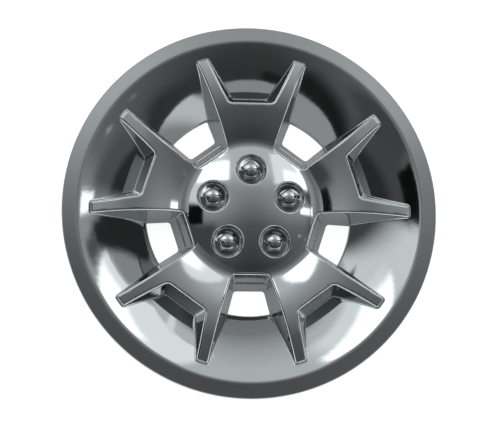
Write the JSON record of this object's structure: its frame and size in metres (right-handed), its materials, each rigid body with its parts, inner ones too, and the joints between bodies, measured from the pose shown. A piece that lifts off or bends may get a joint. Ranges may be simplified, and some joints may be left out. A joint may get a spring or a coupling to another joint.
{
  "type": "wheel cover",
  "caption": "Round chromed wheel cover with forked spokes, open windows, dummy wheel nuts and a sprung wire ring in clips on its back.",
  "frame": {"origin": "on the wheel's axle line, in the back plane on which the cover lies", "axes": "+Z along the axle, out of the shown face; +Y through the middle of one forked spoke"},
  "size_m": [0.412, 0.412, 0.0386],
  "materials": {
    "chrome": "dark bright chrome plating on moulded plastic",
    "spring_steel": "drawn spring wire, dull zinc"
  },
  "bodies": {
    "root": {"cover": "chrome", "steel_ring": "spring_steel"}
  },
  "joints": []
}
